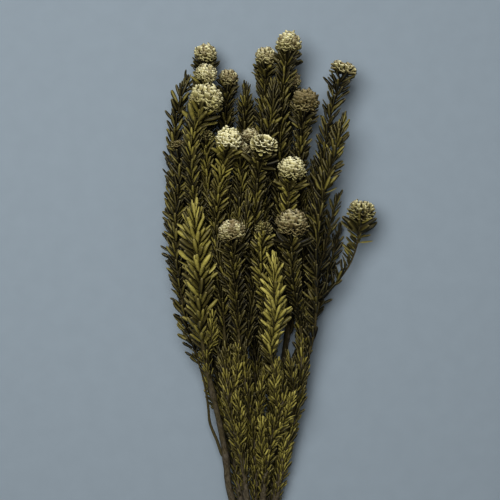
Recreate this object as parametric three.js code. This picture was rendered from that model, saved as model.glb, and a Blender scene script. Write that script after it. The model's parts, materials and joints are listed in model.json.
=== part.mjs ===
// A bunch of dried needle-leaved conebush, lying on a table.
//
// Eight woody stems are held by a rubber band above their cut ends. Each stem forks into leafy shoots,
// and most shoots end in a cone of papery bracts. Every stem, shoot and cone is its own solid. A shoot's
// solid is the outside of its leaves: whorls of points that lean towards the tip, round a bare twig at
// its foot.
//
// Millimetres. +Y runs from the cut ends to the cones, +X is to the right and +Z is up from the table.
// The origin is on the table, under the middle of the bunch.
import * as THREE from "three";

// ---- Driving dimensions ---------------------------------------------------------------------------------

// The space that the bunch is laid out in. It settles to within a few millimetres of these.
const LENGTH = 550; // cut ends to the top of the highest cone
const WIDTH = 200; // leaves at the far left to the cone at the far right
const HEIGHT = 90; // table to the topmost leaves

const STEM_FOOT_RADIUS = 4.2; // at the cut end
const STEM_TOP_RADIUS = 2.3; // where the stem hands over to its leading shoot
const TWIG_FOOT_RADIUS = 1.4; // a shoot's bare foot
const TWIG_TIP_RADIUS = 0.9; // a shoot's twig under its cone
const CUT_SLANT = 0.45; // rise of a cut end across the stem, as a share of its width

const LEAF_REACH = 9; // an ordinary shoot's middle to its leaf tips
const LEAF_FOOT_SHARE = 0.42; // a whorl's radius at its leaf feet, as a share of its reach
const LEAF_NOTCH_SHARE = 0.6; // the same between two leaf tips
const BARE_FOOT = 16; // the part of a shoot that carries no leaves
const BARE_RING_STEP = 18; // along a bare foot, one ring of corners to the next, at the most
const LEAVES_OPEN = 30; // the stretch after it in which the leaves grow to their full reach
const WHORL_PITCH = 21; // one whorl of leaves to the next
const WHORL_OVERHANG = 2; // how far a whorl's leaf tips pass the next whorl's leaf feet

const CONE_DIAMETER = 24; // an ordinary cone
const CONE_HEIGHT_SHARE = 0.86; // a cone's height, as a share of its diameter

const BAND_FROM_CUT = 62; // cut ends to the middle of the rubber band
const BAND_WIDTH = 8;
const BAND_THICKNESS = 1.4;

const FIT_GAP = 0.3; // between pieces that touch
const STEM_GAP = 0.8; // between neighbouring stems
const LEAF_GAP = 1.2; // between the leaves of neighbouring shoots

// ---- Materials ------------------------------------------------------------------------------------------

const finish = (color, roughness) => new THREE.MeshStandardMaterial({ color, roughness, metalness: 0 });
const BARK = finish(0x6b5f4c, 0.85);
const LEAF = finish(0x6a6430, 0.7);
const BRACT = finish(0xa9a374, 0.75);
const RUBBER = finish(0xb3926a, 0.55);

// ---- The layout -----------------------------------------------------------------------------------------

// Routes are points [x, y, z] in a space of this size, stretched to LENGTH, WIDTH and HEIGHT. x counts
// from the middle of the band, y from the cut ends and z from the table.
const LAYOUT = new THREE.Vector3(200, 550, 90);

// row and place say where a stem lies in the band: row 0 is on the table, and places count from the
// row's middle. cut is how far its cut end is from the longest stem's. Its route starts above the band.
// A shoot with a fork leaves the stem's side at that height, and the one without leads the stem on. Its
// route ends at its tip, or in the middle of its cone. full is its leaves' reach and cone its cone's
// diameter, both as a share of an ordinary one. bare is its own bare foot, where it isn't the ordinary
// one.
const STEMS = [
  {
    name: "a", row: 1, place: -1.5, cut: 6,
    route: [[-26, 105, 17], [-29, 134, 21], [-35, 170, 28], [-42, 205, 38], [-49, 240, 50]],
    shoots: [
      { full: 1.5, route: [[-52, 270, 58], [-52, 311, 64], [-56, 345, 66], [-58, 376, 68]] },
      {
        fork: 138, full: 1, cone: 0.66, bare: 100,
        route: [[-44, 168, 18], [-47, 195, 24], [-51, 222, 30], [-59, 255, 35], [-69, 300, 40],
          [-74, 350, 42], [-72, 400, 42], [-73, 440, 44]],
      },
      {
        fork: 205, full: 0.95,
        route: [[-56, 270, 24], [-68, 330, 22], [-74, 390, 24], [-75, 450, 30], [-71, 480, 34],
          [-65, 502, 36]],
      },
    ],
  },
  {
    name: "b", row: 2, place: 0, cut: 0,
    route: [[-10, 105, 30], [-12, 133, 35], [-20, 165, 42], [-28, 205, 46], [-33, 245, 44]],
    shoots: [
      {
        full: 1.05, cone: 0.96,
        route: [[-38, 300, 40], [-40, 350, 46], [-36, 393, 60], [-31, 418, 66], [-26, 444, 69]],
      },
      {
        fork: 225, full: 1.05, cone: 1.25,
        route: [[-46, 300, 34], [-56, 360, 42], [-60, 405, 54], [-57, 445, 60], [-46, 482, 64]],
      },
      {
        fork: 208, full: 0.9, cone: 0.62,
        route: [[-40, 300, 24], [-46, 360, 34], [-50, 410, 48], [-53, 448, 56]],
      },
    ],
  },
  {
    name: "c", row: 0, place: -1, cut: 9,
    route: [[-17, 105, 7], [-24, 150, 8], [-34, 200, 9], [-41, 250, 9], [-46, 290, 9]],
    shoots: [
      {
        full: 1, cone: 0.88,
        route: [[-52, 340, 9], [-57, 400, 10], [-56, 455, 14], [-52, 500, 22], [-49, 530, 28]],
      },
      {
        fork: 270, full: 1, cone: 0.83,
        route: [[-60, 340, 18], [-63, 400, 22], [-63, 450, 30], [-57, 485, 40], [-49, 508, 50]],
      },
      {
        fork: 240, full: 1, cone: 0.75,
        route: [[-36, 310, 9], [-34, 370, 10], [-30, 430, 16], [-28, 475, 24], [-24, 506, 30]],
      },
      { fork: 215, full: 0.95, route: [[-52, 265, 8], [-65, 320, 8], [-71, 365, 8], [-73, 410, 8]] },
    ],
  },
  {
    name: "d", row: 1, place: -0.5, cut: 3,
    route: [[-1, 105, 18], [-3, 150, 25], [-8, 200, 36], [-14, 245, 50]],
    shoots: [
      { full: 1.05, cone: 1, route: [[-18, 285, 60], [-21, 325, 68], [-23, 358, 72]] },
      {
        fork: 215, full: 0.95, cone: 0.79,
        route: [[-16, 275, 34], [-14, 340, 36], [-12, 390, 40], [-14, 435, 46]],
      },
      {
        fork: 230, full: 1, cone: 1.04,
        route: [[-2, 290, 44], [-4, 340, 50], [-2, 385, 56], [3, 420, 62], [7, 438, 72]],
      },
    ],
  },
  {
    name: "e", row: 0, place: 0, cut: 4,
    route: [[2, 105, 7], [1, 150, 8], [0, 200, 9], [0, 250, 9], [2, 295, 9]],
    shoots: [
      { full: 1, cone: 0.83, route: [[4, 350, 9], [4, 410, 12], [4, 465, 24], [6, 500, 32], [8, 526, 38]] },
      {
        fork: 262, full: 1, cone: 0.96,
        route: [[12, 320, 22], [14, 375, 30], [18, 430, 40], [24, 480, 42], [28, 515, 44], [31, 537, 46]],
      },
      {
        fork: 280, full: 0.95, cone: 0.83,
        route: [[20, 340, 9], [24, 400, 10], [28, 450, 14], [31, 485, 20], [33, 505, 24]],
      },
      {
        fork: 250, full: 0.95,
        route: [[-10, 310, 9], [-14, 370, 9], [-13, 430, 14], [-10, 470, 22], [-9, 496, 28]],
      },
      {
        fork: 235, full: 0.95, cone: 0.75,
        route: [[-8, 290, 22], [-10, 350, 24], [-10, 400, 30], [-6, 449, 36]],
      },
      {
        fork: 290, full: 0.95,
        route: [[8, 345, 26], [10, 400, 38], [12, 440, 50], [16, 475, 56], [17, 496, 58]],
      },
    ],
  },
  {
    name: "f", row: 1, place: 0.5, cut: 11,
    route: [[7, 105, 22], [11, 145, 32], [20, 180, 45], [24, 206, 52], [17, 228, 58]],
    shoots: [
      { full: 1.33, route: [[13, 252, 64], [17, 280, 70], [14, 305, 73], [13, 330, 74]] },
      { fork: 200, full: 0.9, cone: 0.7, route: [[8, 250, 42], [3, 290, 50], [3, 325, 60], [6, 360, 66]] },
    ],
  },
  {
    name: "g", row: 0, place: 1, cut: 2,
    route: [[16, 105, 7], [22, 150, 8], [27, 200, 9], [31, 250, 9], [36, 290, 10]],
    shoots: [
      {
        full: 1, cone: 1.08,
        route: [[42, 335, 14], [43, 380, 22], [42, 425, 32], [43, 460, 40], [44, 482, 44]],
      },
      {
        fork: 262, full: 1, cone: 1.08,
        route: [[48, 320, 14], [58, 370, 22], [63, 415, 28], [68, 455, 34], [76, 490, 38], [83, 512, 40]],
      },
      {
        fork: 240, full: 1, cone: 1.04,
        route: [[30, 290, 30], [30, 335, 44], [29, 375, 56], [33, 416, 66]],
      },
      { fork: 215, full: 1, route: [[42, 275, 9], [52, 325, 9], [60, 380, 9], [64, 430, 9]] },
    ],
  },
  {
    name: "h", row: 1, place: 1.5, cut: 8,
    route: [[20, 105, 16], [26, 133, 20], [31, 160, 24], [38, 190, 28], [45, 230, 33], [46, 262, 36],
      [44, 284, 38]],
    shoots: [
      {
        full: 0.78, cone: 1.12,
        route: [[54, 290, 38], [70, 302, 36], [84, 319, 34], [94, 337, 34], [101, 378, 36]],
      },
      { fork: 262, full: 1, cone: 1.17, route: [[37, 295, 54], [32, 325, 66], [32, 366, 72]] },
      { fork: 272, full: 0.72, route: [[54, 308, 28], [59, 335, 26], [65, 362, 26], [75, 392, 26]] },
      { fork: 245, full: 0.67, route: [[58, 285, 18], [68, 318, 14], [76, 342, 12], [81, 362, 12]] },
      { fork: 178, full: 0.78, route: [[36, 205, 44], [33, 222, 48], [30, 240, 50]] },
      {
        fork: 222, full: 1.1,
        route: [[54, 262, 40], [56, 292, 52], [56, 335, 56], [63, 395, 55], [73, 430, 54], [81, 462, 52]],
      },
    ],
  },
];

// ---- Chains: every stem and shoot as points along its middle --------------------------------------------

const CHAIN_STEP = 7; // between a chain's points
const FOOT_POINTS = 2; // points of a shoot that stay beside its stem

const stretch = new THREE.Vector3(WIDTH, LENGTH, HEIGHT).divide(LAYOUT);
const placed = (route) => route.map((point) => new THREE.Vector3(...point).multiply(stretch));
const smooth = (points) => new THREE.CatmullRomCurve3(points, false, "centripetal");

function pointsAlong(curve) {
  return curve.getSpacedPoints(Math.max(2, Math.round(curve.getLength() / CHAIN_STEP)));
}

// The middle of a stem where the band holds it. The rows nest into each other, and the lowest lies on
// the band.
function placeInBand({ row, place }) {
  const pitch = 2 * STEM_FOOT_RADIUS + STEM_GAP;
  const lowest = STEM_FOOT_RADIUS + BAND_THICKNESS + FIT_GAP;
  return new THREE.Vector3(place * pitch, BAND_FROM_CUT, lowest + row * pitch * Math.sin(Math.PI / 3));
}

const stemRadius = (share) => THREE.MathUtils.lerp(STEM_FOOT_RADIUS, STEM_TOP_RADIUS, share);

function stemChain(stem) {
  const held = placeInBand(stem);
  const foot = held.clone().setY(stem.cut);
  const points = pointsAlong(smooth([foot, held, ...placed(stem.route)]));
  return {
    name: "stem_" + stem.name,
    points,
    reach: points.map((_, i) => stemRadius(i / (points.length - 1))),
    fixed: points.map((point) => point.y < 1.5 * BAND_FROM_CUT),
  };
}

// A place against a stem's side, at one of the stem's points and towards a place farther on.
function besideStem(stem, at, towards) {
  const along = stem.points[at + 1].clone().sub(stem.points[at - 1]).normalize();
  const side = towards.clone().sub(stem.points[at]).projectOnPlane(along).normalize();
  return stem.points[at].clone().addScaledVector(side, stem.reach[at] + TWIG_FOOT_RADIUS + FIT_GAP);
}

// A side shoot's first two points run beside its stem, from the fork up.
function forkFoot(stem, fork, towards) {
  const highest = stem.points.length - 3;
  const index = stem.points.findIndex((point) => point.y >= fork * stretch.y);
  const at = index < 0 ? highest : Math.min(index, highest);
  return [besideStem(stem, at, towards), besideStem(stem, at + 1, towards)];
}

// The leading shoot's first two points carry the stem on from its end.
function leaderFoot(stem) {
  const [before, end] = stem.points.slice(-2);
  const along = end.clone().sub(before).normalize();
  return [FIT_GAP, CHAIN_STEP].map((distance) => end.clone().addScaledVector(along, distance));
}

function shootChain({ fork, full, cone = 0, bare = BARE_FOOT, route }, name, stem) {
  const way = placed(route);
  const foot = () => (fork ? forkFoot(stem, fork, way[0]) : leaderFoot(stem));
  const points = pointsAlong(smooth([...foot(), ...way]));
  const chain = { name, stem, foot, points, bare, full: full * LEAF_REACH, cone: cone * CONE_DIAMETER };
  chain.reach = points.map((_, i) => leafReach(chain, i * CHAIN_STEP));
  if (cone) chain.reach[points.length - 1] = chain.cone / 2;
  chain.fixed = points.map((_, i) => i < FOOT_POINTS);
  return chain;
}

// How far the leaves reach from the twig, at a distance from the shoot's foot.
function leafReach({ bare, full }, distance) {
  const open = THREE.MathUtils.clamp((distance - bare) / LEAVES_OPEN, 0, 1);
  return THREE.MathUtils.lerp(TWIG_FOOT_RADIUS, full, open);
}

// ---- Settling: the stems and shoots ease apart on the table until their leaves are clear of each other --

const SETTLE_ROUNDS = 450;
const LOOSE_ROUNDS = 200; // the last rounds, in which nothing draws a shoot back to its route
const HOME_PULL = 0.03;
const EVEN_OUT = 0.4; // how far a round spreads one point's move over the points next to it
const LOOSE_EVEN_OUT = 0.02;

// A shoot's foot lies against its stem.
function mayTouch(a, i, b, j) {
  return (a.stem === b && i < FOOT_POINTS) || (b.stem === a && j < FOOT_POINTS);
}

function pushApart(a, b) {
  const gap = a.stem || b.stem ? LEAF_GAP : STEM_GAP;
  const between = new THREE.Vector3();
  for (let i = 0; i < a.points.length; i++) {
    for (let j = 0; j < b.points.length; j++) {
      const need = a.room[i] + b.room[j] + gap;
      if (Math.abs(a.points[i].y - b.points[j].y) >= need) continue;
      between.subVectors(b.points[j], a.points[i]);
      const distance = between.length();
      const loose = Number(!a.fixed[i]) + Number(!b.fixed[j]);
      if (distance >= need || loose === 0 || mayTouch(a, i, b, j)) continue;
      between.multiplyScalar((need - distance) / loose / Math.max(distance, 0.01));
      if (!a.fixed[i]) a.points[i].sub(between);
      if (!b.fixed[j]) b.points[j].add(between);
    }
  }
}

function drawHome(chain) {
  chain.points.forEach((point, i) => {
    if (!chain.fixed[i]) point.lerp(chain.home[i], HOME_PULL);
  });
}

// Spreads each point's move over its neighbours, so that a pushed shoot bends and doesn't kink.
function evenOut(chain, share) {
  const moved = chain.points.map((point, i) => point.clone().sub(chain.home[i]));
  for (let i = 1; i < moved.length; i++) {
    if (chain.fixed[i]) continue;
    const next = moved[Math.min(i + 1, moved.length - 1)];
    const middle = moved[i - 1].clone().add(next).multiplyScalar(0.5);
    chain.points[i].addScaledVector(middle.sub(moved[i]), share);
  }
}

// A shoot's foot stays on its stem, wherever the stem has moved to.
function followStem({ points, foot }) {
  foot().forEach((place, i) => points[i].copy(place));
}

function keepOnTable(chain) {
  chain.points.forEach((point, i) => {
    point.z = Math.max(point.z, chain.reach[i]);
  });
}

function settle(chains) {
  chains.forEach((chain) => {
    chain.home = chain.points.map((point) => point.clone());
    // no way through between its points
    chain.room = chain.reach.map((reach) => Math.max(reach, CHAIN_STEP / 2));
  });
  for (let round = 0; round < SETTLE_ROUNDS; round++) {
    const loose = round >= SETTLE_ROUNDS - LOOSE_ROUNDS;
    if (!loose) chains.forEach(drawHome);
    chains.forEach((chain) => evenOut(chain, loose ? LOOSE_EVEN_OUT : EVEN_OUT));
    chains.filter((chain) => chain.stem).forEach(followStem);
    chains.forEach((a, n) => chains.slice(n + 1).forEach((b) => pushApart(a, b)));
    chains.forEach(keepOnTable);
  }
}

// ---- Solids ---------------------------------------------------------------------------------------------

const SIDES = 6; // round a stem or a shoot
const CONE_SIDES = 8;
const CURVE_STEPS = 120; // directions kept along a curve
const STEM_RING_STEP = 27; // along a stem, one ring of corners to the next

// A cone's outline, from its foot to its crown, as [out, up] shares of its radius and height: a cup, two
// steps of bracts and a dome.
const CONE_OUTLINE = [
  [0, 0], [0.3, 0], [0.72, 0.2], [0.66, 0.3], [1, 0.45], [0.88, 0.52],
  [0.94, 0.72], [0.76, 0.76], [0.62, 0.93], [0.3, 1], [0, 1],
];

const mesh = (name, geometry, material) => Object.assign(new THREE.Mesh(geometry, material), { name });

// Turns a profile of rings round a curve. A ring has a radius and a distance along the curve, and a ring
// with a whorl number is a ring of leaf tips: every other corner is drawn in, in turn with the whorl
// before. slant tilts the first ring.
function bodyAlong(curve, profile, slant = 0) {
  const outline = profile.map(({ radius }, row) => new THREE.Vector2(radius, row));
  const geometry = new THREE.LatheGeometry(outline, SIDES);
  const corners = geometry.getAttribute("position");
  const length = curve.getLength();
  const { tangents, normals, binormals } = curve.computeFrenetFrames(CURVE_STEPS);
  for (let i = 0; i < corners.count; i++) {
    const row = i % profile.length;
    const column = Math.floor(i / profile.length);
    const { along, whorl } = profile[row];
    const drawnIn = whorl !== undefined && (column + whorl) % 2 === 1;
    const across = drawnIn ? LEAF_NOTCH_SHARE : 1;
    const x = corners.getX(i) * across;
    const z = corners.getZ(i) * across;
    const share = THREE.MathUtils.clamp(along / length, 0, 1);
    const step = Math.round(share * CURVE_STEPS);
    const corner = curve.getPointAt(share);
    corner.addScaledVector(tangents[step], row < 2 ? slant * x : 0);
    corner.addScaledVector(binormals[step], x);
    corner.addScaledVector(normals[step], z);
    corners.setXYZ(i, corner.x, corner.y, corner.z);
  }
  return geometry;
}

function stemSolid(chain) {
  const curve = smooth(chain.points);
  const length = curve.getLength();
  const rings = Math.round(length / STEM_RING_STEP);
  const shares = Array.from({ length: rings + 1 }, (_, i) => i / rings);
  const wall = shares.map((share) => ({ along: share * length, radius: stemRadius(share) }));
  const profile = [{ along: 0, radius: 0 }, ...wall, { along: length, radius: 0 }];
  return mesh(chain.name, bodyAlong(curve, profile, CUT_SLANT), BARK);
}

// A bare twig, then whorls of leaves up to the tip or to the foot of the cone.
function shootSolid(chain) {
  const curve = smooth(chain.points);
  const underCone = chain.cone ? (chain.cone * CONE_HEIGHT_SHARE) / 2 + FIT_GAP : 0;
  const length = curve.getLength() - underCone;
  const whorls = Math.max(2, Math.round((length - chain.bare) / WHORL_PITCH));
  const pitch = (length - chain.bare) / whorls;
  const bareSteps = Math.ceil(chain.bare / BARE_RING_STEP);
  const profile = [{ along: 0, radius: 0 }, { along: 0, radius: TWIG_FOOT_RADIUS }];
  for (let step = 1; step < bareSteps; step++) {
    profile.push({ along: (step / bareSteps) * chain.bare, radius: TWIG_FOOT_RADIUS });
  }
  for (let whorl = 0; whorl < whorls; whorl++) {
    const feet = chain.bare + whorl * pitch;
    const tips = Math.min(feet + pitch + WHORL_OVERHANG, length - FIT_GAP);
    const middle = Math.max(TWIG_FOOT_RADIUS, leafReach(chain, feet) * LEAF_FOOT_SHARE);
    profile.push({ along: feet, radius: middle }, { along: tips, radius: leafReach(chain, tips), whorl });
  }
  profile.push({ along: length, radius: TWIG_TIP_RADIUS }, { along: length, radius: 0 });
  return mesh(chain.name, bodyAlong(curve, profile), LEAF);
}

function coneSolid(chain) {
  const [before, middle] = chain.points.slice(-2);
  const height = chain.cone * CONE_HEIGHT_SHARE;
  const radius = chain.cone / 2;
  const outline = CONE_OUTLINE.map(([out, up]) => new THREE.Vector2(out * radius, (up - 0.5) * height));
  const turned = new THREE.LatheGeometry(outline, CONE_SIDES);
  const cone = mesh(chain.name.replace("shoot", "cone"), turned, BRACT);
  cone.quaternion.setFromUnitVectors(new THREE.Vector3(0, 1, 0), middle.clone().sub(before).normalize());
  cone.position.copy(middle);
  return cone;
}

// ---- The rubber band ------------------------------------------------------------------------------------

const CLEAR_SIDES = 10; // of the rounding that draws an outline clear

function edgesOf({ geometry }) {
  const places = geometry.getAttribute("position");
  const corner = (i) => new THREE.Vector3().fromBufferAttribute(places, geometry.index.getX(i));
  const nextInFace = (i) => (i % 3 === 2 ? i - 2 : i + 1);
  return Array.from({ length: geometry.index.count }, (_, i) => [corner(i), corner(nextInFace(i))]);
}

function convexOutline(points) {
  const sorted = [...points].sort((p, q) => p.x - q.x || p.y - q.y);
  const turnsRight = (o, p, q) => (p.x - o.x) * (q.y - o.y) - (p.y - o.y) * (q.x - o.x) <= 1e-6;
  const half = (list) => list.reduce((kept, point) => {
    while (kept.length > 1 && turnsRight(kept.at(-2), kept.at(-1), point)) kept.pop();
    return [...kept, point];
  }, []);
  return [...half(sorted).slice(0, -1), ...half(sorted.reverse()).slice(0, -1)];
}

// The convex outline, seen along Y, of what the meshes have between two distances from the cut ends,
// drawn clear.
function outlineBetween(meshes, from, to, clear) {
  const corners = meshes.flatMap(edgesOf).flatMap(([p, q]) => {
    const shareAt = (y) => THREE.MathUtils.clamp((y - p.y) / (q.y - p.y || 1), 0, 1);
    const ends = [p.clone().lerp(q, shareAt(from)), p.clone().lerp(q, shareAt(to))];
    return ends.filter(({ y }) => y > from - 0.01 && y < to + 0.01);
  });
  const turn = (2 * Math.PI) / CLEAR_SIDES;
  const out = clear / Math.cos(turn / 2);
  const rounded = convexOutline(corners.map(({ x, z }) => new THREE.Vector2(x, z))).flatMap(({ x, y }) =>
    Array.from({ length: CLEAR_SIDES }, (_, i) =>
      new THREE.Vector2(x + out * Math.cos(i * turn), y + out * Math.sin(i * turn))));
  return convexOutline(rounded);
}

function bandSolid(stemMeshes) {
  const from = BAND_FROM_CUT - BAND_WIDTH / 2;
  const to = BAND_FROM_CUT + BAND_WIDTH / 2;
  const shape = new THREE.Shape(outlineBetween(stemMeshes, from, to, FIT_GAP + BAND_THICKNESS));
  shape.holes.push(new THREE.Path(outlineBetween(stemMeshes, from, to, FIT_GAP)));
  const ring = new THREE.ExtrudeGeometry(shape, { depth: BAND_WIDTH, bevelEnabled: false });
  const band = mesh("rubber_band", ring, RUBBER);
  band.rotation.x = Math.PI / 2; // the outline stands up, and its depth runs towards the cut ends
  band.position.y = to;
  return band;
}

// ---- The bunch ------------------------------------------------------------------------------------------

const stems = STEMS.map(stemChain);
const shoots = STEMS.flatMap((stem, n) =>
  stem.shoots.map((shoot, i) => shootChain(shoot, "shoot_" + stem.name + (i + 1), stems[n])));
settle([...stems, ...shoots]);

const bunch = new THREE.Group();
const stemMeshes = stems.map(stemSolid);
const cones = shoots.filter((shoot) => shoot.cone).map(coneSolid);
bunch.add(...stemMeshes, ...shoots.map(shootSolid), ...cones, bandSolid(stemMeshes));

// Moves the origin to the table, under the middle of the bunch.
const box = new THREE.Box3().setFromObject(bunch, true);
const middle = box.getCenter(new THREE.Vector3());
bunch.position.set(-middle.x, -middle.y, -box.min.z);

export default bunch;
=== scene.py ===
"""A bunch of dried needle-leaved conebush, tied with a rubber band and laid down on a table."""

import json
import math

import bmesh
import bpy
from mathutils import Matrix, Vector

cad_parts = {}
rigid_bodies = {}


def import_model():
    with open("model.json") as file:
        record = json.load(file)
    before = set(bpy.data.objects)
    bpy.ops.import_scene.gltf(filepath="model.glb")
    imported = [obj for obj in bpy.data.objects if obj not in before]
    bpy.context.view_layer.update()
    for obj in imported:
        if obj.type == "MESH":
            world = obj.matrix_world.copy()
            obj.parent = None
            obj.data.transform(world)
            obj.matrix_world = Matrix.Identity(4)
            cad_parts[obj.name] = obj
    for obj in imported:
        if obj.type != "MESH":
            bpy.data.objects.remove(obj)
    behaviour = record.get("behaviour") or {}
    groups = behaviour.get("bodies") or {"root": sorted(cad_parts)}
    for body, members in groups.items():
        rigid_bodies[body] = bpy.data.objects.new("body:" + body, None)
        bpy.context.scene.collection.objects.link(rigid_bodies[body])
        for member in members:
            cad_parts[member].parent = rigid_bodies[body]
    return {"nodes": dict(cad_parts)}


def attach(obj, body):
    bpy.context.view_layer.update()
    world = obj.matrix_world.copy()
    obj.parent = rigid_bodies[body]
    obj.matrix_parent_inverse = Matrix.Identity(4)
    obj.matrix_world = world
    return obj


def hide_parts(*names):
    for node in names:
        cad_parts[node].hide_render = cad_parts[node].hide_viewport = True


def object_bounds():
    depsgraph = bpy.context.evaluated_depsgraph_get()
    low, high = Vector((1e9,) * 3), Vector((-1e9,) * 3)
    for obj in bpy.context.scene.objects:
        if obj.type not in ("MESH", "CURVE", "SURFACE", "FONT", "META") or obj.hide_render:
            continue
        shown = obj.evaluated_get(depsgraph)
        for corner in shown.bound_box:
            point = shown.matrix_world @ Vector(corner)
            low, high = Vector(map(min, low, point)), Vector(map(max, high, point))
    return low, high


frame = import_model()
cad_box = [list(corner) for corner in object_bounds()]


# ---- The woody stems and their twigs ---------------------------------------------------------------------
# Eight cut branches. Each runs on into its leading twig, and the side twigs grow out of its flank from a
# slight swelling. The bark is grey-brown and dry, with the scars of fallen leaves wound round it, and the
# cut ends show pale wood.

BARK_STEP = 0.003  # one ring of bark to the next
BARK_SIDES = 10
BARK_LUMPS = 0.0007  # how deep the bark's unevenness goes
BARK_OUT = 1.04  # the bark's radius at the foot, as a share of the plain stem's
THICK_WOOD = 0.0045  # bark is green up to 0.45 of this radius and brown from 0.85 of it
TWIG_HEEL = 0.009  # how far below its foot a side twig leaves the middle of its stem
TWIG_FOOT = 0.0016  # a side twig's radius at its foot
TWIG_TIP = 0.0009  # and where it is thinnest
TWIG_TAPER = 0.09  # the length on which it thins
LEADER_RADIUS = 0.0012  # of the twig that leads a stem on
LEADER_TAPER = 0.03  # the length on which the stem thins to it
SWELLING = 0.0007  # how far the bark stands out where a twig leaves
SWELLING_LENGTH = 0.006
SWELLING_RISE = 0.004  # from the twig's heel to the middle of the swelling
CUT_SLANT = 0.45  # rise of a cut end across the stem, as a share of its width
SLANT_LENGTH = 0.012  # the length of stem over which the slant dies away
CUT_EDGE = 1.3  # the cut end's reach, as a share of the stem's radius
CUT_DEPTH = 0.0012  # how far the pale wood goes round the edge
CUT_NEAR = 0.03  # nothing further from the cut than this is slanted
WHORL_RATIO = 1.3  # a ring of leaf tips has a largest radius at least this many times its smallest
LINE_STEP = 0.004  # one point of a stem's or a twig's line to the next


def rings_of(node):
    """The rings of a CAD solid from its foot to its tip, as (middle, largest radius, smallest radius)."""
    solid = bmesh.new()
    solid.from_mesh(frame["nodes"][node].data)
    bmesh.ops.remove_doubles(solid, verts=solid.verts, dist=2e-5)

    def off_its_neighbours(vert):
        around = [edge.other_vert(vert).co for edge in vert.link_edges]
        off = (sum(around, Vector()) / len(around) - vert.co).length
        return off / max((place - vert.co).length for place in around)

    poles = sorted(solid.verts, key=off_its_neighbours)[:2]
    level = [min(poles, key=lambda vert: vert.co.y)]
    seen = set(level)
    rings = []
    while level:
        middle = sum((vert.co for vert in level), Vector()) / len(level)
        spread = [(vert.co - middle).length for vert in level]
        rings.append((middle, max(spread), min(spread)))
        level = list(dict.fromkeys(
            edge.other_vert(vert) for vert in level for edge in vert.link_edges
            if edge.other_vert(vert) not in seen
        ))
        seen.update(level)
    solid.free()
    return rings


def middles(rings):
    return [ring[0] for ring in rings]


def smooth_line(points):
    """Points about LINE_STEP apart on a smooth curve through the given ones."""
    ends = [points[0] * 2 - points[1], *points, points[-1] * 2 - points[-2]]
    line = []
    for a, b, c, d in zip(ends, ends[1:], ends[2:], ends[3:]):
        cuts = max(1, round((c - b).length / LINE_STEP))
        for cut in range(cuts):
            t = cut / cuts
            bend = (a * 2 - b * 5 + c * 4 - d) * t * t
            line.append((b * 2 + (c - a) * t + bend + (b * 3 - a - c * 3 + d) * t**3) / 2)
    return [*line, points[-1].copy()]


def lengths_along(line):
    """Each point's distance from the line's start."""
    lengths = [0.0]
    for before, after in zip(line, line[1:]):
        lengths.append(lengths[-1] + (after - before).length)
    return lengths


def line_mesh(name, lines):
    """Open lines as a mesh of edges. Each line is its points and the values of each of them, by name."""
    mesh = bpy.data.meshes.new(name)
    points, edges, columns = [], [], {}
    for line, values in lines:
        edges += [(len(points) + n, len(points) + n + 1) for n in range(len(line) - 1)]
        points += line
        for key, column in values.items():
            columns.setdefault(key, []).extend(column)
    mesh.from_pydata(points, edges, [])
    for key, column in columns.items():
        mesh.attributes.new(key, "FLOAT", "POINT").data.foreach_set("value", column)
    return mesh


def new_tree(name, **inputs):
    """An empty geometry tree with named inputs, given as a socket type or as a number to start from."""
    tree = bpy.data.node_groups.new(name, "GeometryNodeTree")
    tree.interface.new_socket("Geometry", in_out="INPUT", socket_type="NodeSocketGeometry")
    tree.interface.new_socket("Geometry", in_out="OUTPUT", socket_type="NodeSocketGeometry")
    for key, kind in inputs.items():
        number = {float: "NodeSocketFloat", int: "NodeSocketInt"}.get(type(kind))
        socket = tree.interface.new_socket(key, in_out="INPUT", socket_type=number or kind)
        if number:
            socket.default_value = kind
    return tree, tree.nodes.new("NodeGroupInput").outputs


def add(tree, kind, links=None, **settings):
    """Adds a node. links gives its inputs, by name or by place, a value, a socket or a whole node."""
    made = tree.nodes.new(kind)
    for key, value in settings.items():
        setattr(made, key, value)
    shown = [socket for socket in made.inputs if socket.enabled]
    for key, value in (links or {}).items():
        socket = shown[key] if isinstance(key, int) else next(s for s in shown if s.name == key)
        if isinstance(value, bpy.types.Node):
            value = next(s for s in value.outputs if s.enabled)
        if isinstance(value, bpy.types.NodeSocket):
            tree.links.new(value, socket)
        else:
            socket.default_value = value
    return made


def calc(tree, operation, *values):
    """A Math node."""
    return add(tree, "ShaderNodeMath", dict(enumerate(values)), operation=operation)


def plus(tree, a, b):
    return calc(tree, "ADD", a, b)


def times(tree, a, b):
    return calc(tree, "MULTIPLY", a, b)


def named(tree, name, kind="FLOAT"):
    return add(tree, "GeometryNodeInputNamedAttribute", {"Name": name}, data_type=kind)


def store(tree, geometry, key, value, domain="POINT", kind="FLOAT"):
    """Stores a value on a geometry."""
    links = {"Geometry": geometry, "Name": key, "Value": value}
    return add(tree, "GeometryNodeStoreNamedAttribute", links, data_type=kind, domain=domain)


def vector(tree, x=0.0, y=0.0, z=0.0):
    return add(tree, "ShaderNodeCombineXYZ", {"X": x, "Y": y, "Z": z})


def end_tree(tree, geometry, material):
    """Ends a tree in plain, smooth faces of one material."""
    real = add(tree, "GeometryNodeRealizeInstances", {"Geometry": geometry})
    smooth = add(tree, "GeometryNodeSetShadeSmooth", {"Geometry": real})
    finish = add(tree, "GeometryNodeSetMaterial", {"Geometry": smooth, "Material": material})
    add(tree, "NodeGroupOutput", {"Geometry": finish})


def put(name, data):
    """A new object in the scene."""
    made = bpy.data.objects.new(name, data)
    bpy.context.scene.collection.objects.link(made)
    return made


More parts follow.
